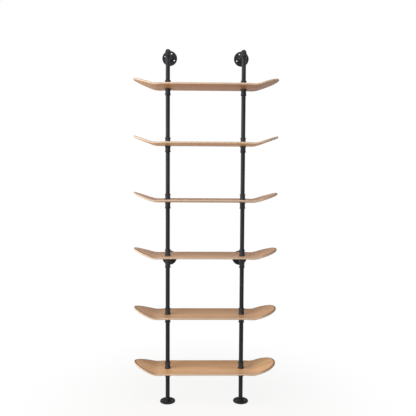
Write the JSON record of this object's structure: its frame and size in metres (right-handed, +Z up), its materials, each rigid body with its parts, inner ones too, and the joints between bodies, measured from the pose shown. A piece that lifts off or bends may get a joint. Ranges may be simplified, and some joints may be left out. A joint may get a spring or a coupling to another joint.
{
  "type": "pipe shelving unit",
  "caption": "Tall open shelving unit: bent-end wooden boards clamped between couplings on threaded iron pipe uprights, with floor flanges and arms back to wall flanges.",
  "frame": {"origin": "on the floor, at the bottom centre of the whole unit's box", "axes": "+X along the shelves towards their blunter ends, +Y back to the wall, +Z up"},
  "size_m": [0.802, 0.2788, 2.0053],
  "materials": {
    "maple": "clear satin lacquer on maple ply, the plies showing at the edges",
    "black_iron": "semi-gloss black, smooth on the pipes and slightly grainy on the cast fittings"
  },
  "bodies": {
    "root": {"shelf_1": "maple", "shelf_2": "maple", "shelf_3": "maple", "shelf_4": "maple", "shelf_5": "maple", "shelf_6": "maple", "left_floor_flange": "black_iron", "left_leg_pipe": "black_iron", "left_lower_coupling_1": "black_iron", "left_upper_coupling_1": "black_iron", "left_pipe_1_2": "black_iron", "left_lower_coupling_2": "black_iron", "left_upper_coupling_2": "black_iron", "left_pipe_2_3": "black_iron", "left_tee": "black_iron", "left_tee_nipple": "black_iron", "left_middle_arm": "black_iron", "left_middle_wall_flange": "black_iron", "left_upper_coupling_3": "black_iron", "left_pipe_3_4": "black_iron", "left_lower_coupling_4": "black_iron", "left_upper_coupling_4": "black_iron", "left_pipe_4_5": "black_iron", "left_lower_coupling_5": "black_iron", "left_upper_coupling_5": "black_iron", "left_pipe_5_6": "black_iron", "left_lower_coupling_6": "black_iron", "left_upper_coupling_6": "black_iron", "left_top_pipe": "black_iron", "left_elbow": "black_iron", "left_top_arm": "black_iron", "left_top_wall_flange": "black_iron", "right_floor_flange": "black_iron", "right_leg_pipe": "black_iron", "right_lower_coupling_1": "black_iron", "right_upper_coupling_1": "black_iron", "right_pipe_1_2": "black_iron", "right_lower_coupling_2": "black_iron", "right_upper_coupling_2": "black_iron", "right_pipe_2_3": "black_iron", "right_tee": "black_iron", "right_tee_nipple": "black_iron", "right_middle_arm": "black_iron", "right_middle_wall_flange": "black_iron", "right_upper_coupling_3": "black_iron", "right_pipe_3_4": "black_iron", "right_lower_coupling_4": "black_iron", "right_upper_coupling_4": "black_iron", "right_pipe_4_5": "black_iron", "right_lower_coupling_5": "black_iron", "right_upper_coupling_5": "black_iron", "right_pipe_5_6": "black_iron", "right_lower_coupling_6": "black_iron", "right_upper_coupling_6": "black_iron", "right_top_pipe": "black_iron", "right_elbow": "black_iron", "right_top_arm": "black_iron", "right_top_wall_flange": "black_iron"}
  },
  "joints": []
}
